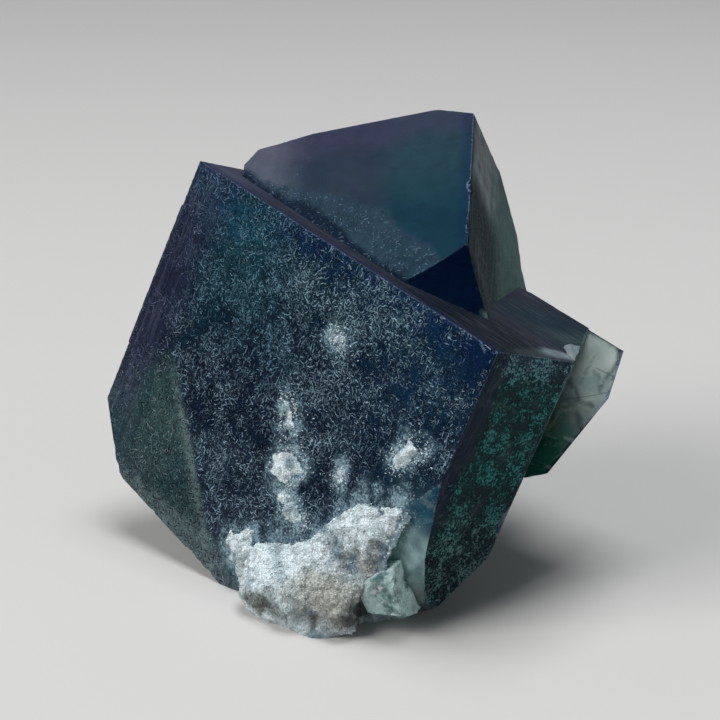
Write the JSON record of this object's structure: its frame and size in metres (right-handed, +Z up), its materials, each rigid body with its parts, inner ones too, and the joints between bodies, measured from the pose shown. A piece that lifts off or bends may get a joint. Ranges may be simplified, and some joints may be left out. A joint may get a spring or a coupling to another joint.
{
  "type": "fluorite specimen",
  "caption": "Cluster of intergrown dark blue-green cubic fluorite crystals with white sugary quartz at the foot, on a small piece of rock cut flat to stand.",
  "frame": {"origin": "centre of the flat base that the specimen stands on", "axes": "+Z up, -Y towards the viewer in front of the large etched face, +X to the viewer's right"},
  "size_m": [0.0481, 0.0373, 0.0399],
  "materials": {
    "fluorite": "clear, dark blue-green, smooth to finely etched",
    "cleaved_fluorite": "clear pale green, freshly cleaved",
    "quartz": "white, sugary, translucent",
    "rock": "granular, dull"
  },
  "bodies": {
    "root": {"fluorite_crystals": "fluorite", "matrix": "rock", "quartz_crust": "quartz", "fluorite_cleavage": "cleaved_fluorite", "quartz_patch_top": "quartz", "quartz_patch_upper": "quartz", "quartz_patch_middle": "quartz", "quartz_patch_lower": "quartz", "quartz_patch_small": "quartz", "quartz_patch_right": "quartz", "quartz_patch_left": "quartz"}
  },
  "joints": []
}
